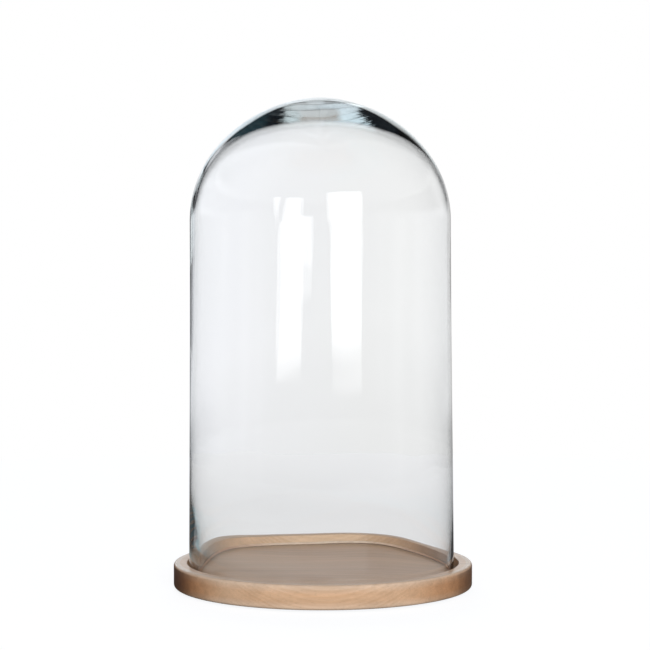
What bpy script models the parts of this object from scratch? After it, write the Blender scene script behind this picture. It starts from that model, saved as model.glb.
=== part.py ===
"""A bell jar: a blown glass dome that stands loose in the recess of a turned beech base on four rubber pads.

Metres, +Z up. The origin is the bottom centre, on the surface that the pads stand on. The front faces -Y.
"""

import math

import bpy

# Blown glass dome. Its height is counted from the open foot, which stands on the floor of the recess.
FOOT_DIAMETER = 0.2664
SHOULDER_DRAW_IN = 0.0029
DOME_HEIGHT = 0.4741
CAP_HEIGHT = 0.1235
CAP_RISE_POWER = 2.06
CAP_WIDTH_POWER = 1.84
WALL = 0.0025
CROWN_THICKNESS = 0.0125
INNER_RISE_POWER = 2.1
INNER_WIDTH_POWER = 1.8
FOOT_THICKNESS = 0.006
FOOT_SWELL_HEIGHT = 0.075
FOOT_EDGE_ROUND = 0.0015
SEAT_GAP = 0.0003

# Turned beech base. Its diameter follows from the glass foot, the room round it and the width of the rim.
RECESS_CLEARANCE = 0.0033
RIM_WIDTH = 0.0135
RECESS_DEPTH = 0.009
BASE_THICKNESS = 0.024
RIM_OUTER_ROUND = 0.0015
RIM_INNER_ROUND = 0.001
BOTTOM_EDGE_ROUND = 0.002

# Rubber pads, stuck under the base in a square near its edge.
PAD_DIAMETER = 0.016
PAD_THICKNESS = 0.002
PAD_EDGE_ROUND = 0.0004
PAD_INSET = 0.032
ADHESIVE_FILM = 0.0003

# Fineness of the round shapes.
TURN_STEPS = 64
CAP_STEPS = 14
SWELL_STEPS = 6
ROUND_STEPS = 3
PAD_SIDES = 32

foot_radius = FOOT_DIAMETER / 2
shoulder_radius = foot_radius - SHOULDER_DRAW_IN
shoulder_height = DOME_HEIGHT - CAP_HEIGHT
recess_radius = foot_radius + RECESS_CLEARANCE
base_radius = recess_radius + RIM_WIDTH
recess_floor = BASE_THICKNESS - RECESS_DEPTH


def finish(name, colour, roughness, transmission=0.0):
    """A plain material for one kind of piece."""
    material = bpy.data.materials.new(name)
    material.use_nodes = True
    shader = material.node_tree.nodes["Principled BSDF"]
    shader.inputs["Base Color"].default_value = (*colour, 1.0)
    shader.inputs["Roughness"].default_value = roughness
    shader.inputs["Metallic"].default_value = 0.0
    shader.inputs["Transmission Weight"].default_value = transmission
    return material


def arc(centre_x, centre_z, radius, start, end, steps=ROUND_STEPS):
    """Points on a round edge, from the start angle to the end angle in degrees."""
    points = []
    for step in range(steps + 1):
        angle = math.radians(start + (end - start) * step / steps)
        points.append((centre_x + radius * math.cos(angle), centre_z + radius * math.sin(angle)))
    return points


def cap(radius, bottom, height, rise_power, width_power):
    """The outline of a rounded top, from its crown on the axis down to its shoulder."""
    points = [(0.0, bottom + height)]
    for step in range(1, CAP_STEPS + 1):
        angle = math.radians(90.0 * (1 - step / CAP_STEPS))
        rise = math.sin(angle) ** (2 / rise_power)
        width = math.cos(angle) ** (2 / width_power)
        points.append((radius * width, bottom + height * rise))
    return points


def outer_radius(height):
    """The glass's outside radius between the foot and the shoulder, where the wall draws in evenly."""
    return foot_radius - SHOULDER_DRAW_IN * height / shoulder_height


def dome_outline():
    """Down the outside of the glass from the crown, round its foot and up the inside to the crown again."""
    outside = cap(shoulder_radius, shoulder_height, CAP_HEIGHT, CAP_RISE_POWER, CAP_WIDTH_POWER)
    foot_inside = foot_radius - FOOT_THICKNESS
    foot = arc(foot_radius - FOOT_EDGE_ROUND, FOOT_EDGE_ROUND, FOOT_EDGE_ROUND, 0, -90)
    foot += arc(foot_inside + FOOT_EDGE_ROUND, FOOT_EDGE_ROUND, FOOT_EDGE_ROUND, -90, -180)
    swell = []
    for step in range(1, SWELL_STEPS + 1):
        share = step / SWELL_STEPS
        height = FOOT_EDGE_ROUND + (FOOT_SWELL_HEIGHT - FOOT_EDGE_ROUND) * share
        eased = 0.5 + 0.5 * math.cos(math.pi * share)
        swell.append((outer_radius(height) - WALL - (FOOT_THICKNESS - WALL) * eased, height))
    inner_height = CAP_HEIGHT - CROWN_THICKNESS
    inside = cap(shoulder_radius - WALL, shoulder_height, inner_height, INNER_RISE_POWER, INNER_WIDTH_POWER)
    return outside + foot + swell + inside[::-1]


def base_outline():
    """Out along the recess floor from the axis, over the rim, down the side and back under the base."""
    points = [(0.0, recess_floor), (recess_radius, recess_floor)]
    points += arc(recess_radius + RIM_INNER_ROUND, BASE_THICKNESS - RIM_INNER_ROUND, RIM_INNER_ROUND, 180, 90)
    points += arc(base_radius - RIM_OUTER_ROUND, BASE_THICKNESS - RIM_OUTER_ROUND, RIM_OUTER_ROUND, 90, 0)
    points += arc(base_radius - BOTTOM_EDGE_ROUND, BOTTOM_EDGE_ROUND, BOTTOM_EDGE_ROUND, 0, -90)
    points.append((0.0, 0.0))
    return points


def turned(name, outline, material, collection):
    """A turned piece: its outline swept once round Z."""
    mesh = bpy.data.meshes.new(name)
    corners = [(x, 0.0, z) for x, z in outline]
    mesh.from_pydata(corners, [(i, i + 1) for i in range(len(corners) - 1)], [])
    mesh.materials.append(material)
    piece = bpy.data.objects.new(name, mesh)
    collection.objects.link(piece)
    screw = piece.modifiers.new("turn", "SCREW")
    screw.axis = "Z"
    screw.angle = math.tau
    screw.steps = TURN_STEPS
    screw.render_steps = TURN_STEPS
    screw.use_merge_vertices = True
    screw.merge_threshold = 0.00001
    screw.use_smooth_shade = True
    return piece


def foot_pad(name, side_x, side_y, material, collection, carrier):
    """One round pad with a softened edge, stuck under the base."""
    spread = (base_radius - PAD_INSET) / math.sqrt(2)
    bpy.ops.mesh.primitive_cylinder_add(vertices=PAD_SIDES, radius=PAD_DIAMETER / 2, depth=PAD_THICKNESS)
    pad = bpy.context.object
    pad.name = name
    pad.data.name = name
    for other in list(pad.users_collection):
        other.objects.unlink(pad)
    collection.objects.link(pad)
    pad.data.materials.append(material)
    pad.parent = carrier
    pad.location = (side_x * spread, side_y * spread, -ADHESIVE_FILM - PAD_THICKNESS / 2)
    pad.data.shade_smooth()
    pad.data.set_sharp_from_angle(angle=math.radians(40))
    softened = pad.modifiers.new("edge", "BEVEL")
    softened.width = PAD_EDGE_ROUND
    softened.segments = 2
    softened.limit_method = "ANGLE"
    return pad


for leftover in list(bpy.data.objects):
    bpy.data.objects.remove(leftover, do_unlink=True)

bell_jar = bpy.data.collections.new("bell_jar_dome")
bpy.context.scene.collection.children.link(bell_jar)

beech = finish("pale_beech", (0.638, 0.418, 0.275), 0.5)
clear_glass = finish("clear_glass", (0.90, 0.96, 0.95), 0.02, transmission=1.0)
grey_rubber = finish("grey_rubber", (0.16, 0.15, 0.14), 0.7)

# The base lies on the pads, and carries everything else.
base = turned("wood_base", base_outline(), beech, bell_jar)
base.location.z = PAD_THICKNESS + ADHESIVE_FILM

# The dome's origin is on its axis at the foot, and it lifts straight up.
dome = turned("glass_dome", dome_outline(), clear_glass, bell_jar)
dome.parent = base
dome.location.z = recess_floor + SEAT_GAP

for row, side_y in (("front", -1), ("back", 1)):
    for end, side_x in (("left", -1), ("right", 1)):
        foot_pad(f"foot_pad_{row}_{end}", side_x, side_y, grey_rubber, bell_jar, base)
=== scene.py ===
"""The looks of a bell jar: a blown glass dome standing loose in a turned beech base on four rubber pads.

Metres, +Z up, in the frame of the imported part. The front faces -Y.
"""

import math

import bmesh
import bpy
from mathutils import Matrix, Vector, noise


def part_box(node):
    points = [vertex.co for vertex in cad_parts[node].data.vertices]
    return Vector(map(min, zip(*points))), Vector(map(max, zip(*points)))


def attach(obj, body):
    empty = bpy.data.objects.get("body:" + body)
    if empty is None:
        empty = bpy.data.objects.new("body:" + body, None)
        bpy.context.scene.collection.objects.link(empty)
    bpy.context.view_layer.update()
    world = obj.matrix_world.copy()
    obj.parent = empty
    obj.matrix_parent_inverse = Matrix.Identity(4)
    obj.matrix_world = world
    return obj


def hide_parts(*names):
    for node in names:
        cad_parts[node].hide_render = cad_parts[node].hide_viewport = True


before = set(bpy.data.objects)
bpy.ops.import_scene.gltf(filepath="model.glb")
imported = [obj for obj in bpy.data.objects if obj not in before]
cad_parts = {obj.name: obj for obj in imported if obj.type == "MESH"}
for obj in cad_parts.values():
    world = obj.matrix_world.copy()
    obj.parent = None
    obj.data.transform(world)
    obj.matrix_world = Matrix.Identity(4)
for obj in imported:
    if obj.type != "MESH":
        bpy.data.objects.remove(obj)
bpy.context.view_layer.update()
bpy.ops.object.select_all(action="DESELECT")


# Foot pads: four discs of matt grey rubber with a softened edge, die cut from sheet.
# Each is stuck under the base by its own film of adhesive, near the edge, where it can't be seen from above.
pad_sides = 64
pad_edge_round, pad_edge_steps = 0.0005, 4
pad_step_in = 0.0016
pad_dish = 0.00015
pad_smooth_angle = math.radians(35)
pad_names = ("foot_pad_front_left", "foot_pad_front_right", "foot_pad_back_left", "foot_pad_back_right")


def put(tree, kind, inputs=None, **settings):
    """Adds a shader node, with its settings, and its inputs as values or as links from other nodes."""
    added = tree.nodes.new(kind)
    for name, value in settings.items():
        setattr(added, name, value)
    for name, value in (inputs or {}).items():
        if isinstance(value, bpy.types.NodeSocket):
            tree.links.new(value, added.inputs[name])
        else:
            added.inputs[name].default_value = value
    return added


def maths(tree, operation, first, second=0.0, third=0.0):
    """One sum in a material, from numbers or sockets."""
    return put(tree, "ShaderNodeMath", {0: first, 1: second, 2: third}, operation=operation).outputs[0]


def shaded(tree, value, stops):
    """A colour that changes along stops, each of them a position from 0 to 1 with its colour."""
    gradient = put(tree, "ShaderNodeValToRGB", {"Fac": value})
    elements = gradient.color_ramp.elements
    while len(elements) < len(stops):
        elements.new(1.0)
    for element, (position, colour) in zip(elements, stops):
        element.position = position
        element.color = (*colour, 1.0)
    return gradient.outputs["Color"]


def mottled(tree, place, scale, detail, roughness=0.5):
    """A random pattern from 0 to 1, finer where the scale is larger."""
    inputs = {"Vector": place, "Scale": scale, "Detail": detail, "Roughness": roughness}
    return put(tree, "ShaderNodeTexNoise", inputs).outputs["Fac"]


def new_material(name):
    """A new material with its Principled shader already joined to the output."""
    material = bpy.data.materials.new(name)
    material.use_nodes = True
    shader = material.node_tree.nodes["Principled BSDF"]
    return material, material.node_tree, shader


def grey_rubber():
    """Matt grey rubber, a little mottled, with a fine moulded tooth."""
    material, tree, shader = new_material("grey_rubber")
    place = put(tree, "ShaderNodeTexCoord").outputs["Object"]
    mottle = mottled(tree, place, 220.0, 4.0)
    tooth = mottled(tree, place, 2600.0, 2.0)
    shade = shaded(tree, mottle, ((0.3, (0.115, 0.108, 0.1)), (0.7, (0.19, 0.18, 0.168))))
    bump = put(tree, "ShaderNodeBump", {"Height": tooth, "Strength": 0.35, "Distance": 0.0001})
    tree.links.new(shade, shader.inputs["Base Color"])
    tree.links.new(maths(tree, "MULTIPLY_ADD", mottle, 0.2, 0.62), shader.inputs["Roughness"])
    tree.links.new(bump.outputs["Normal"], shader.inputs["Normal"])
    return material


def choose(piece, kind, test):
    """In edit mode, selects only the faces that pass the test, or the edges whose ends both pass it."""
    bpy.ops.mesh.select_mode(type=kind)
    bpy.ops.mesh.select_all(action="DESELECT")
    shape = bmesh.from_edit_mesh(piece.data)
    if kind == "FACE":
        for face in shape.faces:
            face.select_set(test(face))
    else:
        for edge in shape.edges:
            edge.select_set(all(test(end.co) for end in edge.verts))
    bmesh.update_edit_mesh(piece.data)


rubber = grey_rubber()
for pad_name in pad_names:
    pad_low, pad_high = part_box(pad_name)
    pad_middle = [(a + b) / 2 for a, b in zip(pad_low, pad_high)]
    pad_radius = (pad_high[0] - pad_low[0]) / 2
    bpy.ops.object.select_all(action="DESELECT")
    bpy.ops.mesh.primitive_cylinder_add(
        vertices=pad_sides, radius=pad_radius, depth=pad_high[2] - pad_low[2], location=pad_middle
    )
    pad = bpy.context.object
    pad.name = "rubber_" + pad_name
    bpy.ops.object.transform_apply(location=True, rotation=True, scale=True)
    bpy.ops.object.mode_set(mode="EDIT")
    choose(pad, "EDGE", lambda end: abs(end.z - pad_low[2]) < 1e-6)
    bpy.ops.mesh.bevel(offset=pad_edge_round, segments=pad_edge_steps, affect="EDGES")
    choose(pad, "FACE", lambda face: face.normal.z < -0.99)
    bpy.ops.mesh.inset(thickness=pad_step_in)
    bpy.ops.mesh.extrude_region_move(TRANSFORM_OT_translate={"value": (0.0, 0.0, pad_dish)})
    bpy.ops.object.mode_set(mode="OBJECT")
    bpy.ops.object.shade_smooth_by_angle(angle=pad_smooth_angle)
    pad.data.materials.append(rubber)
    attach(pad, "base")
    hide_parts(pad_name)


# Wood base: one round board of pale beech, turned with a raised rim round a flat recess, its edges eased.
# The grain runs from left to right, so the two ends show darker end grain, with painted shade over it,
# deepest on the left.
# Its colour also holds painted shade round the glass's foot, painted light and shade along the recess wall,
# and a painted sheen on the eased edges. It has a thin matt lacquer.
base_low, base_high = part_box("wood_base")
glass_low, glass_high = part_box("glass_dome")
base_radius = base_high[0]
recess_clearance = 0.0033
seat_gap = 0.0003
recess_radius = glass_high[0] + recess_clearance
recess_floor = glass_low[2] - seat_gap
base_sides = 256
rim_outer_round = 0.003
rim_inner_round = 0.001
bottom_round = 0.003
recess_corner_round = 0.0008
large_round_steps, small_round_steps = 8, 4
base_smooth_angle = math.radians(30)
# Painted shade on the recess floor: a ring round the glass's foot that darkens towards it, darkest under the
# foot and in the gap outside it.
shade_ring_middle, shade_ring_inside, shade_ring_outside = -0.0014, 0.116, 0.1275
foot_shadow_inside, foot_shadow_outside = shade_ring_outside + 0.0008, shade_ring_outside + 0.0025


def between(tree, value, start, end, low=0.0, high=1.0, smooth=False):
    """Goes from low to high as a value goes from start to end, and stays the same beyond them."""
    inputs = {"Value": value, "From Min": start, "From Max": end, "To Min": low, "To Max": high}
    curve = "SMOOTHSTEP" if smooth else "LINEAR"
    return put(tree, "ShaderNodeMapRange", inputs, interpolation_type=curve).outputs["Result"]


def product(tree, *factors):
    """Numbers or sockets multiplied together."""
    total = factors[0]
    for factor in factors[1:]:
        total = maths(tree, "MULTIPLY", total, factor)
    return total


def either(tree, choice, no, yes):
    """One number where a choice is 0, and another where it is 1."""
    return put(tree, "ShaderNodeMix", {"Factor": choice, "A": no, "B": yes}).outputs["Result"]


def blend(tree, choice, no, yes, way="MIX"):
    """One colour where a choice is 0, and another, or the two multiplied, where it is 1."""
    inputs = {"Factor": choice, "A": no, "B": yes}
    return put(tree, "ShaderNodeMix", inputs, data_type="RGBA", blend_type=way).outputs["Result"]


def dimmed(tree, colour, amount):
    """A colour times an amount."""
    inputs = {0: colour, "Scale": amount}
    return put(tree, "ShaderNodeVectorMath", inputs, operation="SCALE").outputs["Vector"]


def pale_beech():
    """Pale beech: growth rings round a pith along X under the board, with fibres, flecks and end grain, and
    painted light and shade.
    """
    pith_y, pith_z = -0.056, -0.060
    ring_width, ring_drift, ring_wander = 0.0027, 0.018, 0.0022
    early_wood, late_wood = (0.665, 0.418, 0.264, 1.0), (0.53, 0.295, 0.16, 1.0)
    # The tint of the painted sheen near the outer face's top and bottom edges.
    painted_edge_sheen = (1.05, 1.2, 1.4, 1.0)
    ring_darkness = ((0.0, (0.0, 0.0, 0.0)), (0.72, (1.0, 1.0, 1.0)), (1.0, (0.15, 0.15, 0.15)))
    # Painted light and shade along the recess wall, from its left end to its right: darker at both ends,
    # paler and bluer in the middle.
    recess_wall_light_and_shade = (
        (0.067, (0.75, 0.72, 0.7)), (0.16, (1.05, 1.05, 1.05)), (0.4, (1.14, 1.25, 1.33)),
        (0.62, (1.14, 1.25, 1.33)), (0.75, (0.94, 0.94, 0.94)), (0.83, (0.6, 0.56, 0.53)),
        (0.893, (0.55, 0.5, 0.47)), (0.933, (0.75, 0.72, 0.7)),
    )
    # The two ends: darker end grain with painted shade over it, deepest on the left end.
    end_grain_and_shade = ((-1.0, 0.6, 0.7, (0.2, 0.14, 0.1, 1.0)), (1.0, 0.45, 0.55, (0.45, 0.44, 0.46, 1.0)))
    material, tree, shader = new_material("pale_beech")
    where = put(tree, "ShaderNodeTexCoord")
    place = where.outputs["Object"]
    apart = put(tree, "ShaderNodeSeparateXYZ", {"Vector": place}).outputs
    facing = put(tree, "ShaderNodeSeparateXYZ", {"Vector": where.outputs["Normal"]}).outputs

    def grain(squeeze, scale, detail, roughness=0.5):
        """A pattern drawn out along the grain, by squeezing it along X."""
        drawn_out = put(tree, "ShaderNodeMapping", {"Vector": place, "Scale": (squeeze, 1.0, 1.0)})
        return mottled(tree, drawn_out.outputs["Vector"], scale, detail, roughness)

    drift = grain(0.16, 14.0, 2.0, 0.45)
    wander = grain(0.16, 60.0, 2.0)
    broad = grain(0.16, 34.0, 3.0)
    fibre = grain(0.03, 900.0, 4.0, 0.6)
    fleck = grain(0.2, 1100.0, 1.0)
    streak = grain(0.035, 130.0, 3.0, 0.65)

    across = maths(tree, "SUBTRACT", apart["Y"], pith_y)
    above = maths(tree, "SUBTRACT", apart["Z"], pith_z)
    squared = maths(tree, "ADD", product(tree, across, across), product(tree, above, above))
    from_pith = maths(tree, "MULTIPLY_ADD", drift, ring_drift, maths(tree, "SQRT", squared))
    from_pith = maths(tree, "MULTIPLY_ADD", wander, ring_wander, from_pith)
    ring_count = maths(tree, "DIVIDE", from_pith, ring_width)
    ring_number = maths(tree, "FLOOR", ring_count)
    ring_random = put(tree, "ShaderNodeTexWhiteNoise", {"W": ring_number}, noise_dimensions="1D")
    ring_strength = maths(tree, "MULTIPLY_ADD", ring_random.outputs["Value"], 0.75, 0.25)
    late = shaded(tree, maths(tree, "FRACT", ring_count), ring_darkness)
    flat_cut = between(tree, maths(tree, "ABSOLUTE", apart["X"]), 0.05, 0.1, 0.6, 0.14, smooth=True)
    colour = blend(tree, product(tree, late, ring_strength, flat_cut), early_wood, late_wood)

    # Painted shade round the glass's foot, centred where the foot stands.
    foot_x = maths(tree, "SUBTRACT", apart["X"], shade_ring_middle)
    flat_place = put(tree, "ShaderNodeCombineXYZ", {"X": foot_x, "Y": apart["Y"]}).outputs["Vector"]
    from_foot = put(tree, "ShaderNodeVectorMath", {0: flat_place}, operation="LENGTH").outputs["Value"]
    shade_ring = between(tree, from_foot, shade_ring_inside, shade_ring_outside, 1.0, 0.72, smooth=True)
    gap_shadow = between(tree, from_foot, foot_shadow_inside, foot_shadow_outside, 1.0, 0.5)
    low_enough = maths(tree, "LESS_THAN", apart["Z"], recess_floor + recess_corner_round / 2)
    on_the_floor = product(tree, low_enough, maths(tree, "GREATER_THAN", facing["Z"], 0.5))
    shade_ring = either(tree, on_the_floor, 1.0, product(tree, shade_ring, gap_shadow))
    # The grain's marks and the painted shade round the foot, multiplied together.
    light = product(
        tree,
        between(tree, broad, 0.35, 0.65, 0.95, 1.05),
        between(tree, fibre, 0.3, 0.7, 0.94, 1.05),
        between(tree, fleck, 0.62, 0.74, 1.0, 0.86),
        between(tree, streak, 0.35, 0.65, 0.93, 1.06),
        shade_ring,
    )

    outward_x = product(tree, facing["X"], apart["X"])
    outward_y = product(tree, facing["Y"], apart["Y"])
    outward = maths(tree, "ADD", outward_x, outward_y)
    recess_wall = between(tree, outward, -0.02, -0.12)
    # Painted light and shade on the recess wall, by how far to the left or right it is.
    from_the_left = maths(tree, "MULTIPLY_ADD", apart["X"], 0.5 / base_radius, 0.5)
    wall_light_and_shade = shaded(tree, from_the_left, recess_wall_light_and_shade)
    toned = blend(tree, recess_wall, dimmed(tree, colour, light), wall_light_and_shade, way="MULTIPLY")
    outside = maths(tree, "GREATER_THAN", outward, 0.0)
    # Painted sheen: the outer face turns paler and bluer towards its eased top and bottom edges.
    near_top = between(tree, apart["Z"], base_high[2] - 0.0085, base_high[2] - 0.0015)
    near_bottom = between(tree, apart["Z"], base_low[2] + 0.008, base_low[2] + 0.001)
    edge_sheen_share = product(tree, maths(tree, "ADD", near_top, near_bottom), outside)
    toned = blend(tree, edge_sheen_share, toned, painted_edge_sheen, way="MULTIPLY")
    # Darker, richer end grain at both ends, under painted shade that is deepest on the left.
    for end, start, richer, shade in end_grain_and_shade:
        turned = product(tree, facing["X"], end, outside)
        wide = between(tree, turned, start, 0.95, smooth=True)
        narrow = between(tree, turned, 0.8, 1.0, smooth=True)
        richness = maths(tree, "MULTIPLY_ADD", wide, richer, 1.0)
        rich = put(tree, "ShaderNodeGamma", {"Color": toned, "Gamma": richness}).outputs["Color"]
        toned = blend(tree, narrow, rich, shade, way="MULTIPLY")

    relief = maths(tree, "MULTIPLY_ADD", late, 0.35, fibre)
    bump = put(tree, "ShaderNodeBump", {"Height": relief, "Strength": 0.25, "Distance": 0.00012})
    buffed = between(tree, facing["Z"], 0.3, 0.95, 0.0, 0.55)
    tree.links.new(toned, shader.inputs["Base Color"])
    tree.links.new(maths(tree, "MULTIPLY_ADD", fibre, 0.16, 0.36), shader.inputs["Roughness"])
    tree.links.new(bump.outputs["Normal"], shader.inputs["Normal"])
    tree.links.new(buffed, shader.inputs["Coat Weight"])
    shader.inputs["Coat Roughness"].default_value = 0.22
    shader.inputs["Specular IOR Level"].default_value = 0.12
    return material


bpy.ops.object.select_all(action="DESELECT")
bpy.ops.mesh.primitive_cylinder_add(
    vertices=base_sides, radius=base_radius, depth=base_high[2] - base_low[2],
    location=(0.0, 0.0, (base_low[2] + base_high[2]) / 2),
)
base = bpy.context.object
base.name = "beech_base"
bpy.ops.object.transform_apply(location=True, rotation=True, scale=True)
bpy.ops.object.mode_set(mode="EDIT")
choose(base, "FACE", lambda face: face.normal.z > 0.99)
bpy.ops.mesh.inset(thickness=base_radius - recess_radius)
bpy.ops.mesh.extrude_region_move(TRANSFORM_OT_translate={"value": (0.0, 0.0, recess_floor - base_high[2])})
middle_radius = (base_radius + recess_radius) / 2
for edge_z, is_outer, rounding, steps in (
    (base_low[2], True, bottom_round, large_round_steps),
    (base_high[2], True, rim_outer_round, large_round_steps),
    (base_high[2], False, rim_inner_round, small_round_steps),
    (recess_floor, False, recess_corner_round, small_round_steps),
):
    choose(
        base, "EDGE",
        lambda end: abs(end.z - edge_z) < 1e-5 and (math.hypot(end.x, end.y) > middle_radius) == is_outer,
    )
    bpy.ops.mesh.bevel(offset=rounding, segments=steps, affect="EDGES")
bpy.ops.object.mode_set(mode="OBJECT")
bpy.ops.object.shade_smooth_by_angle(angle=base_smooth_angle)
base.data.materials.append(pale_beech())
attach(base, "base")
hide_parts("wood_base")


# Glass dome: one bubble of clear glass, blown and drawn down by hand, so its wall is thin at the middle,
# thick and rippled at the crown, and swells unevenly at the foot, more on the left than on the right.
# It stands loose on the recess floor by its own weight, and lifts straight off.
foot_radius = glass_high[0]
dome_height = glass_high[2] - glass_low[2]
shoulder_draw_in = 0.0029
cap_height = 0.1235
cap_rise_power, cap_width_power = 2.06, 1.84
middle_wall = 0.0018
shoulder_wall = 0.0025
crown_thickness = 0.0122
inner_rise_power, inner_width_power = 2.15, 2.05
foot_thickness = 0.0052
foot_swell_height = 0.085
foot_edge_round = 0.0012
lip_width, lip_height, lip_edge = 0.0015, 0.0020, 0.0004
foot_lean, middle_lean, crown_lean = 0.0024, 0.0001, 0.0015
foot_stand, crown_stand = -0.0014, -0.0026
foot_swell_change, foot_back_thin = 0.32, 0.45
outer_wave, inner_wave, crown_wave = (0.055, 0.00006), (0.05, 0.0002), (0.016, 0.000015)
glass_sides = 192
shoulder_height = dome_height - cap_height
shoulder_radius = foot_radius - shoulder_draw_in


def outer_wall(height):
    """The glass's outside radius from the foot to the shoulder, where the wall is upright."""
    share = height / shoulder_height
    return foot_radius - shoulder_draw_in * (6 * share - share ** 6) / 5


def eased(share):
    """Goes smoothly from 0 to 1 as the share does."""
    share = min(max(share, 0.0), 1.0)
    return share * share * (3 - 2 * share)


def wall_thickness(height):
    """The wall's thickness below the shoulder, with a swelling at the foot and a slower one at the top."""
    foot = 1 - eased(height / foot_swell_height)
    top = eased(height / shoulder_height * 2 - 1)
    return middle_wall + (foot_thickness - middle_wall) * foot + (shoulder_wall - middle_wall) * top


def cap_points(radius, height, rise_power, width_power, steps):
    """A rounded top's outline, from its crown on the axis down to the shoulder."""
    points = []
    for step in range(steps + 1):
        angle = math.radians(90.0 * (1 - step / steps))
        rise = math.sin(angle) ** (2 / rise_power)
        width = math.cos(angle) ** (2 / width_power) if step else 0.0
        points.append((radius * width, shoulder_height + height * rise))
    return points


def glass_outline():
    """The glass's section: down the outside from the crown, round the foot and back up the inside."""
    outer_steps, inner_steps, wall_steps, edge_steps = 60, 90, 28, 5
    points = cap_points(shoulder_radius, cap_height, cap_rise_power, cap_width_power, outer_steps)
    for step in range(1, wall_steps + 1):
        height = shoulder_height + (foot_edge_round - shoulder_height) * step / wall_steps
        points.append((outer_wall(height), height))
    for step in range(1, edge_steps + 1):
        angle = math.radians(-90 * step / edge_steps)
        points.append((
            foot_radius - foot_edge_round * (1 - math.cos(angle)), foot_edge_round * (1 + math.sin(angle))
        ))
    lip_radius = foot_radius - foot_thickness - lip_width
    points.append((lip_radius + lip_edge, 0.0))
    for step in range(edge_steps + 1):
        share = step / edge_steps
        points.append((lip_radius + lip_width * eased(share), lip_edge + (lip_height - lip_edge) * share))
    for step in range(1, wall_steps):
        height = lip_height + (shoulder_height - lip_height) * (step / wall_steps) ** 1.5
        points.append((outer_wall(height) - wall_thickness(height), height))
    inner_radius, inner_height = shoulder_radius - shoulder_wall, cap_height - crown_thickness
    inside = cap_points(inner_radius, inner_height, inner_rise_power, inner_width_power, inner_steps)
    return points + inside[::-1]


def is_inside(place):
    """Whether a point of the glass is on its inner face."""
    wall_share, crown_share = 0.4, 0.6
    radius, height = math.hypot(place.x, place.y), place.z - glass_low[2]
    if height < shoulder_height:
        return radius < outer_wall(height) - wall_share * wall_thickness(height)
    rise = min((height - shoulder_height) / cap_height, 1.0) ** (cap_rise_power / 2)
    outer = shoulder_radius * math.sqrt(max(0.0, 1 - rise * rise)) ** (2 / cap_width_power)
    below_the_skin = height < dome_height - crown_share * crown_thickness
    return below_the_skin and radius < outer - wall_share * shoulder_wall


def ripple(place, length, amount):
    """A smooth, uneven wave in the glass, of about this length and height."""
    return amount * noise.noise(place / length)


def blown_glass():
    """Clear glass, with the faint blue-green that shows only where it is thick. Lamps shine through it."""
    material, tree, shader = new_material("blown_glass")
    shader.inputs["Base Color"].default_value = (1.0, 1.0, 1.0, 1.0)
    shader.inputs["Roughness"].default_value = 0.0
    shader.inputs["IOR"].default_value = 1.5
    shader.inputs["Transmission Weight"].default_value = 1.0
    output = tree.nodes["Material Output"]
    through = put(tree, "ShaderNodeBsdfTransparent", {"Color": (0.997, 1.0, 1.0, 1.0)}).outputs["BSDF"]
    lamps = put(tree, "ShaderNodeLightPath").outputs["Is Shadow Ray"]
    mixed = put(tree, "ShaderNodeMixShader", {0: lamps, 1: shader.outputs["BSDF"], 2: through})
    tree.links.new(mixed.outputs["Shader"], output.inputs["Surface"])
    tint = put(tree, "ShaderNodeVolumeAbsorption", {"Color": (0.36, 0.72, 0.8, 1.0), "Density": 2.5})
    tree.links.new(tint.outputs["Volume"], output.inputs["Volume"])
    return material


def ground_glass():
    """The narrow lip inside the foot, ground flat by hand: pale, matt and a little uneven.
    Its peach tone is a painted reflection of the wood; it is darker and redder towards the left and right.
    """
    side_tint = (0.72, 0.52, 0.42, 1.0)
    material, tree, shader = new_material("ground_glass")
    place = put(tree, "ShaderNodeTexCoord").outputs["Object"]
    scratches = mottled(tree, place, 240.0, 5.0)
    # The peach tone is a painted reflection of the wood round the lip.
    shade = shaded(tree, scratches, ((0.3, (0.66, 0.49, 0.37)), (0.7, (0.8, 0.63, 0.49))))
    to_the_side = maths(tree, "ABSOLUTE", put(tree, "ShaderNodeSeparateXYZ", {"Vector": place}).outputs["X"])
    # Darker and redder towards the left and right.
    tinted_to_sides = blend(tree, between(tree, to_the_side, 0.04, 0.115), shade, side_tint, way="MULTIPLY")
    bump = put(tree, "ShaderNodeBump", {"Height": scratches, "Strength": 0.3, "Distance": 0.0002})
    tree.links.new(tinted_to_sides, shader.inputs["Base Color"])
    tree.links.new(maths(tree, "MULTIPLY_ADD", scratches, 0.2, 0.5), shader.inputs["Roughness"])
    tree.links.new(bump.outputs["Normal"], shader.inputs["Normal"])
    shader.inputs["Specular IOR Level"].default_value = 0.2
    return material


bpy.ops.object.select_all(action="DESELECT")
bpy.ops.mesh.primitive_plane_add(size=0.01)
dome = bpy.context.object
dome.name = "blown_dome"
outline = glass_outline()
bpy.ops.object.mode_set(mode="EDIT")
bpy.ops.mesh.select_mode(type="VERT")
bpy.ops.mesh.select_all(action="SELECT")
bpy.ops.mesh.merge(type="CENTER")
bpy.ops.transform.translate(value=(outline[0][0], 0.0, glass_low[2] + outline[0][1]))
for (here_x, here_z), (next_x, next_z) in zip(outline, outline[1:]):
    step = (next_x - here_x, 0.0, next_z - here_z)
    bpy.ops.mesh.extrude_vertices_move(TRANSFORM_OT_translate={"value": step})
bpy.ops.mesh.select_all(action="SELECT")
bpy.ops.mesh.spin(steps=glass_sides, angle=math.tau, center=(0.0, 0.0, 0.0), axis=(0.0, 0.0, 1.0))
bpy.ops.mesh.select_all(action="SELECT")
bpy.ops.mesh.remove_doubles(threshold=1e-6)
bpy.ops.mesh.normals_make_consistent(inside=False)

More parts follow.
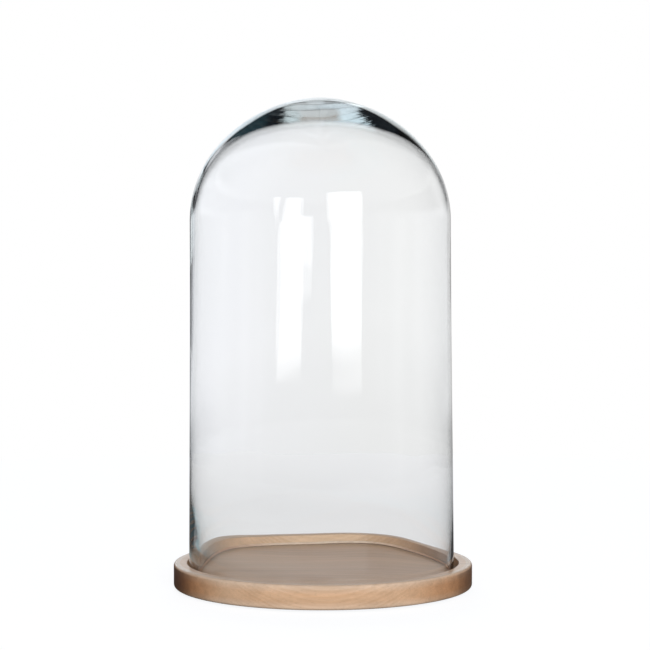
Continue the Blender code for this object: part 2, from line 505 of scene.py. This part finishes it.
shape = bmesh.from_edit_mesh(dome.data)
for face in shape.faces:
    middle = face.calc_center_median()
    on_the_lip = lip_edge < middle.z - glass_low[2] < lip_height
    if on_the_lip and math.hypot(middle.x, middle.y) < foot_radius - foot_thickness / 2:
        face.material_index = 1
for corner in shape.verts:
    height = corner.co.z - glass_low[2]
    place = corner.co.copy()
    corner.co.x += foot_stand + (crown_stand - foot_stand) * min(height / shoulder_height, 1.0)
    if not is_inside(place):
        corner.co += corner.normal * ripple(place, *outer_wave)
        corner.co.z = min(max(corner.co.z, glass_low[2]), glass_high[2])
        continue
    foot_share = 1 - eased(height / foot_swell_height)
    crown_share = eased((height - 0.5 * shoulder_height) / (0.5 * shoulder_height))
    around = math.atan2(place.x, -place.y)
    uneven = foot_swell_change * math.sin(4 * around) - foot_back_thin * eased(-math.cos(around))
    change = uneven * (foot_thickness - middle_wall) * foot_share
    corner.co.x -= change * math.sin(around)
    corner.co.y += change * math.cos(around)
    lean = middle_lean + (foot_lean - middle_lean) * foot_share + (crown_lean - middle_lean) * crown_share
    corner.co.x += lean
    corner.co += corner.normal * (ripple(place, *inner_wave) + ripple(place, *crown_wave) * crown_share)
    corner.co.z = max(corner.co.z, glass_low[2])
bmesh.update_edit_mesh(dome.data)
bpy.ops.object.mode_set(mode="OBJECT")
bpy.ops.object.shade_smooth()
dome.data.materials.append(blown_glass())
dome.data.materials.append(ground_glass())
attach(dome, "dome")
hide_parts("glass_dome")


# Floor: a plain pale round table top under everything, white to the eye and matt to the lamps,
# so that it keeps the soft shadow of the base. Seen through the glass it is greyer near the base, a painted
# shade.
# In the glass's reflections it carries painted light: a teal glow beside the left foot, a brighter patch
# further left, and a sheen that grows towards its edge and its back.
floor_radius, floor_sides = 1.2, 128
deep_mirrors = 5.5
floor_grey = (0.2, 0.2, 0.2, 1.0)
floor_white, floor_teal = (0.997, 1.0, 1.012, 1.0), (0.6, 1.0, 1.1, 1.0)
bpy.ops.object.select_all(action="DESELECT")
bpy.ops.mesh.primitive_circle_add(vertices=floor_sides, radius=floor_radius, fill_type="NGON")
floor = bpy.context.object
floor.name = "studio_floor"
floor_material, floor_tree, floor_shader = new_material("pale_floor")
floor_shader.inputs["Base Color"].default_value = floor_grey
floor_shader.inputs["Roughness"].default_value = 0.9
floor_shader.inputs["Specular IOR Level"].default_value = 0.0
seen = put(floor_tree, "ShaderNodeLightPath").outputs
floor_place = put(floor_tree, "ShaderNodeTexCoord").outputs["Object"]
floor_apart = put(floor_tree, "ShaderNodeSeparateXYZ", {"Vector": floor_place}).outputs
away = put(floor_tree, "ShaderNodeVectorMath", {0: floor_place}, operation="LENGTH").outputs["Value"]


def by_distance(near, far, near_glow, far_glow):
    """The floor's own light, from near the base to its edge."""
    return between(floor_tree, away, near, far, near_glow, far_glow)


# Painted reflections: glows that only the glass's mirrored rays see, teal beside the left foot and brighter
# further left.
on_the_left = maths(floor_tree, "LESS_THAN", floor_apart["X"], -0.08)
beside = product(floor_tree, by_distance(0.22, 0.34, 0.4, 0.0), on_the_left, seen["Is Singular Ray"])
leftwards = maths(floor_tree, "MULTIPLY", floor_apart["X"], -1.0)
slantwise = maths(floor_tree, "MULTIPLY_ADD", floor_apart["Y"], -0.9, leftwards)
to_the_left = product(
    floor_tree, between(floor_tree, slantwise, 0.065, 0.115), by_distance(0.36, 0.41, 0.0, 1.0),
    seen["Is Singular Ray"],
)
# Painted sheen in the glass's reflections of the floor, growing towards its edge, and towards the back for
# rays from within the glass.
skin_sheen = maths(floor_tree, "ADD", beside, by_distance(0.5, floor_radius, 0.0, 0.25))
skin_sheen = maths(floor_tree, "MULTIPLY_ADD", to_the_left, by_distance(0.4, 0.95, 0.75, 0.0), skin_sheen)
inside_sheen = between(floor_tree, floor_apart["Y"], -0.5, 0.4, 0.12, 0.45)
on_the_skin = maths(floor_tree, "LESS_THAN", seen["Transmission Depth"], 0.5)
mirrored_floor = maths(floor_tree, "GREATER_THAN", seen["Glossy Depth"], 0.5)
matt_floor = maths(floor_tree, "GREATER_THAN", seen["Diffuse Depth"], 0.5)
# Painted shade: seen through the glass, the floor is greyer near the base.
through_glass = by_distance(0.45, floor_radius, 0.739, 0.842)
glow = either(floor_tree, seen["Is Camera Ray"], through_glass, 0.893)
glow = either(floor_tree, mirrored_floor, glow, either(floor_tree, on_the_skin, inside_sheen, skin_sheen))
glow = either(floor_tree, matt_floor, glow, 0.0)
teal_share = product(floor_tree, mirrored_floor, maths(floor_tree, "GREATER_THAN", beside, 0.01))
floor_cast = blend(floor_tree, teal_share, floor_white, floor_teal)
floor_tree.links.new(floor_cast, floor_shader.inputs["Emission Color"])
floor_tree.links.new(glow, floor_shader.inputs["Emission Strength"])
deep_ray = maths(floor_tree, "GREATER_THAN", seen["Glossy Depth"], deep_mirrors)
clear = put(floor_tree, "ShaderNodeBsdfTransparent").outputs["BSDF"]
floor_mix = {0: deep_ray, 1: floor_shader.outputs["BSDF"], 2: clear}
floor_surface = put(floor_tree, "ShaderNodeMixShader", floor_mix).outputs["Shader"]
floor_tree.links.new(floor_surface, floor_tree.nodes["Material Output"].inputs["Surface"])
floor.data.materials.append(floor_material)


# Studio light: a soft lamp in front and one behind, a weak one above, and a white room that the glass shows.
# The glass mirrors the room's dark side, with a white backdrop behind and two bright windows in front.
window_light = (2.4, 2.4, 2.4)
room_white = (1.0, 1.0, 1.0, 1.0)
cool_white, warm_white = (1.01, 1.02, 1.05, 1.0), (0.994, 1.0, 0.998, 1.0)
fill_light = (0.2, 0.21, 0.22)


def area_lamp(name, place, target, size, watts, colour):
    """A soft rectangular lamp that lights the wood and the floor, and isn't mirrored in the glass."""
    lamp = bpy.data.lights.new(name, "AREA")
    lamp.shape = "RECTANGLE"
    lamp.size, lamp.size_y = size
    lamp.energy = watts
    lamp.color = colour
    holder = bpy.data.objects.new(name, lamp)
    bpy.context.scene.collection.objects.link(holder)
    holder.location = place
    towards = [b - a for a, b in zip(place, target)]
    run = math.hypot(towards[0], towards[1])
    turn = math.atan2(towards[1], towards[0]) - math.pi / 2
    holder.rotation_euler = (math.atan2(run, -towards[2]), 0.0, turn)
    holder.visible_camera = False
    holder.visible_glossy = False
    holder.visible_transmission = False


area_lamp("front_lamp", (0.6, -6.0, 1.75), (0.0, 0.0, 0.05), (2.8, 1.7), 365.0, (0.95, 0.99, 1.0))
area_lamp("back_lamp", (-0.45, 6.0, 1.75), (0.0, 0.0, 0.05), (2.8, 1.7), 160.0, (0.95, 0.98, 1.0))
area_lamp("top_lamp", (0.0, 0.0, 2.0), (0.0, 0.0, 0.0), (1.6, 1.6), 1.5, (0.93, 0.97, 1.0))

world = bpy.data.worlds.new("studio")
bpy.context.scene.world = world
world.use_nodes = True
sky = world.node_tree
sky.nodes.clear()
ray = put(sky, "ShaderNodeLightPath").outputs
room_place = put(sky, "ShaderNodeTexCoord").outputs["Generated"]
aim = put(sky, "ShaderNodeSeparateXYZ", {"Vector": room_place}).outputs
ahead = maths(sky, "MAXIMUM", maths(sky, "MULTIPLY", aim["Y"], -1.0), 0.001)
in_front = maths(sky, "LESS_THAN", aim["Y"], -0.01)
wall_x = maths(sky, "DIVIDE", aim["X"], ahead)
wall_z = maths(sky, "DIVIDE", aim["Z"], ahead)
sideways = maths(sky, "ABSOLUTE", aim["X"])
skin = maths(sky, "LESS_THAN", ray["Transmission Depth"], 0.5)
from_the_back = maths(sky, "GREATER_THAN", ray["Transmission Depth"], 2.5)


def ramp(value, start, end, low=0.0, high=1.0):
    """Goes from low to high in the room as a value goes from start to end."""
    return between(sky, value, start, end, low, high)


def window(left, right, low, high):
    """A bright window on the wall in front, as seen from the glass.

    Its upright edges are places across at three heights, its low and high edges slant from left to right.
    """
    soft = 0.006
    inside = in_front
    bends = (-0.08, 0.04, 0.6)
    for edge, side in ((left, 1.0), (right, -1.0)):
        lower = ramp(wall_z, bends[0], bends[1], edge[0], edge[1])
        upper = ramp(wall_z, bends[1], bends[2], 0.0, edge[2] - edge[1])
        gap = maths(sky, "SUBTRACT", wall_x, maths(sky, "ADD", lower, upper))
        inside = product(sky, inside, ramp(product(sky, gap, side), -soft, soft))
    for (start, slant), side in ((low, 1.0), (high, -1.0)):
        gap = maths(sky, "SUBTRACT", wall_z, maths(sky, "MULTIPLY_ADD", wall_x, slant, start))
        inside = product(sky, inside, ramp(product(sky, gap, side), -soft, soft))
    return inside


def both_windows():
    """Two windows and a sliver beside the left one. The back of the glass shows only part of the right."""
    right_window = window((0.185, 0.101, 0.093), (0.714, 0.722, 0.8), (-0.048, -0.025), (0.548, 0.203))
    left_window = window((-0.83, -0.657, -0.605), (-0.302, -0.302, -0.33), (-0.046, 0.0375), (0.416, -0.139))
    sliver = window((-0.795, -0.815, -0.965), (-0.82, -0.79, -0.78), (-0.05, 0.0), (0.376, -0.212))
    low_and_near = product(sky, ramp(aim["Z"], -0.014, -0.006, 1.0, 0.0), ramp(wall_x, 0.45, 0.47, 1.0, 0.0))
    on_the_right = product(sky, right_window, either(sky, from_the_back, 1.0, low_and_near))
    on_the_left = product(sky, maths(sky, "ADD", left_window, sliver), either(sky, from_the_back, 1.0, 0.0))
    return maths(sky, "ADD", on_the_right, on_the_left)


def added(colour, amount, before):
    """A patch of light of one colour, by its amount, on top of what is there."""
    inputs = {0: before, 1: dimmed(sky, colour, amount)}
    return put(sky, "ShaderNodeVectorMath", inputs, operation="ADD").outputs["Vector"]


def round_the_room(levels, shift=0.0):
    """The room's brightness all round, as levels at angles from straight behind to the right, in degrees."""
    turn = maths(sky, "ADD", maths(sky, "ARCTAN2", aim["X"], aim["Y"]), shift)
    stops = []
    for angle, level in levels:
        cool = 0.03 if angle < 0 else 0.0
        stops.append((angle / 360 + 0.5, (level * (1 - cool), level, level * (1 + 1.5 * cool))))
    return shaded(sky, maths(sky, "MULTIPLY_ADD", turn, 1 / math.tau, 0.5), stops)


def at_eye_level():
    """What the upright wall mirrors, with a dark line down the upper left edge."""
    around = round_the_room([
        (-180, 0.1), (-140, 0.14), (-127, 0.27), (-124, 0.45), (-121, 0.3), (-112, 0.4), (-108, 0.58),
        (-102, 0.44), (-92, 0.52), (-84, 0.72), (-75, 0.77), (-20, 0.77), (-16, 0.32), (-8, 0.32), (-5, 0.8),
        (5, 0.8), (8, 0.48), (13, 0.52), (17, 0.68), (35, 0.68), (46, 0.53), (60, 0.4), (78, 0.32),
        (84, 0.38), (92, 0.27), (102, 0.25), (107, 0.4), (113, 0.24), (130, 0.12), (180, 0.1),
    ])
    slid = maths(sky, "ADD", aim["X"], ramp(aim["Z"], -0.015, 0.015, 0.0, 0.14))
    left_line = product(
        sky, ramp(slid, -0.36, -0.28), ramp(slid, -0.12, -0.07, 1.0, 0.0),
        ramp(aim["Z"], -0.05, -0.03), ramp(aim["Z"], 0.03, 0.055, 1.0, 0.0),
    )
    lined = dimmed(sky, around, either(sky, left_line, 1.0, 0.06))
    return dimmed(sky, lined, ramp(aim["Z"], -0.128, -0.08, 0.25, 1.0))


def above_eye_level():
    """What the shoulder and the crown's rim mirror, on the skin of the glass and from within its wall."""
    rim_tint = (0.84, 1.0, 1.04)
    left_side = [
        (-180, 0.1), (-140, 0.14), (-112, 0.4), (-92, 0.6), (-75, 0.95), (-62, 1.2), (-50, 1.25),
        (-45, 1.15), (-40, 0.75), (-37, 0.4), (-34, 0.08), (-31, 0.0),
    ]
    right_side = [
        (29, 0.02), (32, 0.35), (36, 0.62), (40, 0.85), (46, 0.95), (54, 0.7), (62, 0.42), (78, 0.3),
        (108, 0.22), (130, 0.12), (180, 0.1),
    ]
    skin_middle = [
        (-22, 0.0), (-19, 0.15), (-17, 0.6), (-14, 0.9), (13, 0.88), (16, 0.65), (19, 0.4), (22, 0.18),
        (25, 0.02),
    ]
    wall_middle = [(-25, 0.0), (-21, 0.6), (20, 0.6), (24, 0.02)]
    on_the_skin = round_the_room(left_side + skin_middle + right_side)
    in_the_wall = round_the_room(left_side + wall_middle + right_side)
    high_on_the_skin = round_the_room([
        (-180, 0.1), (-140, 0.14), (-112, 0.38), (-90, 0.5), (-75, 0.75), (-60, 1.0), (-49, 1.1),
        (-43, 0.85), (-39, 0.35), (-36, 0.06), (-21, 0.05), (-17, 1.0), (17, 1.0), (21, 0.05), (32, 0.05),
        (36, 0.25), (42, 0.55), (50, 0.5), (60, 0.36), (90, 0.27), (110, 0.2), (130, 0.12), (180, 0.1),
    ])
    lean_in = product(sky, ramp(aim["Z"], 0.5, 0.7, 0.0, 0.1), maths(sky, "LESS_THAN", aim["X"], 0.0))
    high_up = round_the_room([
        (-180, 0.1), (-140, 0.14), (-112, 0.38), (-90, 0.5), (-69, 0.5), (-58, 0.75), (-50, 1.0),
        (-42, 0.98), (-38, 0.6), (-34, 0.05), (-8, 0.03), (-6.5, 0.5), (-3.5, 0.42), (3.5, 0.42),
        (5.5, 0.03), (33, 0.03), (36, 0.4), (40, 0.5), (44, 0.45), (52, 0.38), (60, 0.32), (90, 0.26),
        (110, 0.2), (130, 0.12), (180, 0.1),
    ], lean_in)
    shoulder_line = product(
        sky, ramp(sideways, 0.1, 0.16), maths(sky, "LESS_THAN", sideways, 0.45),
        ramp(aim["Z"], 0.08, 0.1), ramp(aim["Z"], 0.15, 0.2, 1.0, 0.0),
    )
    in_the_wall = dimmed(sky, in_the_wall, either(sky, shoulder_line, 1.0, 0.0))
    in_the_wall = blend(sky, ramp(aim["Z"], 0.35, 0.42), in_the_wall, high_up)
    on_the_skin = blend(sky, ramp(aim["Z"], 0.3, 0.36), on_the_skin, high_on_the_skin)
    on_the_skin = blend(sky, ramp(aim["Z"], 0.38, 0.44), on_the_skin, high_up)
    rim_light = round_the_room([
        (-180, 0.0), (-20, 0.0), (-18, 0.8), (-14, 0.8), (-9, 0.6), (-4, 0.4), (0, 0.2), (4, 0.35), (9, 0.5),
        (14, 0.45), (17, 0.35), (20, 0.1), (22, 0.0), (180, 0.0),
    ])
    tinted_rim = put(sky, "ShaderNodeVectorMath", {0: rim_light, 1: rim_tint}, operation="MULTIPLY")
    rim_band = product(sky, ramp(aim["Z"], 0.08, 0.12), ramp(aim["Z"], 0.39, 0.43, 1.0, 0.0))
    rim_light = dimmed(sky, tinted_rim.outputs["Vector"], rim_band)
    left_glint = round_the_room([
        (-180, 0.0), (-29, 0.0), (-26, 1.3), (-21, 1.4), (-18, 1.1), (-15, 0.2), (-13, 0.0), (180, 0.0),
    ])
    glint_band = product(sky, ramp(aim["Z"], 0.17, 0.27), ramp(aim["Z"], 0.3, 0.36, 1.0, 0.0))
    left_glint = dimmed(sky, left_glint, glint_band)
    above = blend(sky, skin, in_the_wall, on_the_skin)
    return added(left_glint, skin, added(rim_light, skin, above))


def deep_in_the_crown():
    """What the thick crown mirrors over and over: dark ends with jagged strokes, and a pale middle."""
    pale_band, brown_band = (0.74, 0.69, 0.68, 1.0), (0.6, 0.5, 0.46, 1.0)
    teal_gleam, grey_gleam, faint_gleam = (0.012, 0.036, 0.043), (0.12, 0.13, 0.14), (0.002, 0.004, 0.007)
    steep_teal = (0.018, 0.04, 0.045, 1.0)
    times_mirrored = ray["Glossy Depth"]

    def mirrored_between(low, high):
        """Whether a ray was mirrored more than one number of times and less than another."""
        more = maths(sky, "GREATER_THAN", times_mirrored, low)
        less = maths(sky, "LESS_THAN", times_mirrored, high)
        return product(sky, more, less)

    stroke_place = put(sky, "ShaderNodeMapping", {"Vector": room_place, "Scale": (7.0, 1.0, 45.0)})
    strokes = mottled(sky, stroke_place.outputs["Vector"], 1.0, 2.0)
    ragged = maths(sky, "MULTIPLY_ADD", strokes, 0.5, -0.25)
    far_left = maths(sky, "LESS_THAN", aim["X"], -0.3)
    slanted = product(sky, ramp(times_mirrored, 11.0, 17.0, 0.0, 0.22), far_left)
    deep = round_the_room([
        (-180, 0.3), (-125, 0.3), (-112, 0.25), (-106, 0.0), (-43, 0.0), (-39, 1.2), (-25, 1.2), (-16, 1.0),
        (-8, 0.86), (16, 0.9), (25, 0.95), (29, 0.0), (100, 0.0), (106, 0.3), (140, 0.3), (180, 0.3),
    ], maths(sky, "ADD", ragged, slanted))
    thin_lines = ramp(maths(sky, "ABSOLUTE", maths(sky, "SUBTRACT", strokes, 0.5)), 0.0, 0.03, 0.55, 1.0)
    deep = dimmed(sky, deep, product(sky, thin_lines, ramp(strokes, 0.35, 0.62, 0.8, 1.05)))
    deep = dimmed(sky, deep, either(sky, mirrored_between(7.5, 8.5), 1.0, 0.35))
    middle = product(sky, ramp(aim["X"], -0.42, -0.32), ramp(aim["X"], 0.18, 0.27, 1.0, 0.0))
    deep = blend(sky, product(sky, mirrored_between(8.5, 9.5), middle), deep, pale_band)
    deep = blend(sky, product(sky, mirrored_between(9.5, 11.5), middle), deep, brown_band)
    teal = product(sky, ramp(aim["X"], 0.64, 0.74), ramp(strokes, 0.4, 0.6, 0.3, 1.3))
    split = product(sky, mirrored_between(9.5, 10.5), ramp(aim["X"], 0.5, 0.56))
    deep = added(teal_gleam, teal, added(grey_gleam, split, deep))
    return blend(sky, ramp(aim["Z"], 0.2, 0.35), added(faint_gleam, 1.0, deep), steep_teal)


mirrored = blend(sky, ramp(aim["Z"], 0.0, 0.07), at_eye_level(), above_eye_level())
mirrored = added(window_light, both_windows(), mirrored)
deep_room_ray = maths(sky, "GREATER_THAN", ray["Glossy Depth"], deep_mirrors)
mirrored = blend(sky, deep_room_ray, mirrored, deep_in_the_crown())
was_mirrored = maths(sky, "GREATER_THAN", ray["Glossy Depth"], 0.5)
was_matt = maths(sky, "GREATER_THAN", ray["Diffuse Depth"], 0.5)
wall_white = blend(sky, ramp(aim["X"], -0.07, 0.02), cool_white, warm_white)
seen_through = dimmed(sky, wall_white, ramp(aim["Z"], -0.112, -0.06, 0.94, 1.0))
white_room = blend(sky, ray["Is Camera Ray"], seen_through, room_white)
fill = dimmed(sky, fill_light, ramp(sideways, 0.25, 0.8, 1.0, 0.3))
room = blend(sky, was_matt, blend(sky, was_mirrored, white_room, mirrored), fill)
background = put(sky, "ShaderNodeBackground", {"Color": room, "Strength": 1.0}).outputs["Background"]
put(sky, "ShaderNodeOutputWorld", {"Surface": background})

light_paths = bpy.context.scene.cycles
light_paths.max_bounces = 32
light_paths.glossy_bounces = 24
light_paths.transmission_bounces = 32


# Camera: a long lens a little below the crown, looking slightly down, as the photograph was taken.
# Its distance, height and tilt were solved from the ellipses of the base's rim and of the glass's foot.
photo_side = 650
focal_pixels = 2501.0
sensor = 36.0
tilt_down = 3.5
camera_place = (0.00208, -2.5, 0.4175)
camera = bpy.data.cameras.new("camera")
camera.sensor_width = sensor
camera.lens = focal_pixels * sensor / photo_side
camera_holder = bpy.data.objects.new("camera", camera)
bpy.context.scene.collection.objects.link(camera_holder)
camera_holder.location = camera_place
camera_holder.rotation_euler = (math.radians(90 - tilt_down), 0.0, 0.0)
bpy.context.scene.camera = camera_holder
bpy.context.scene.view_settings.view_transform = "Standard"
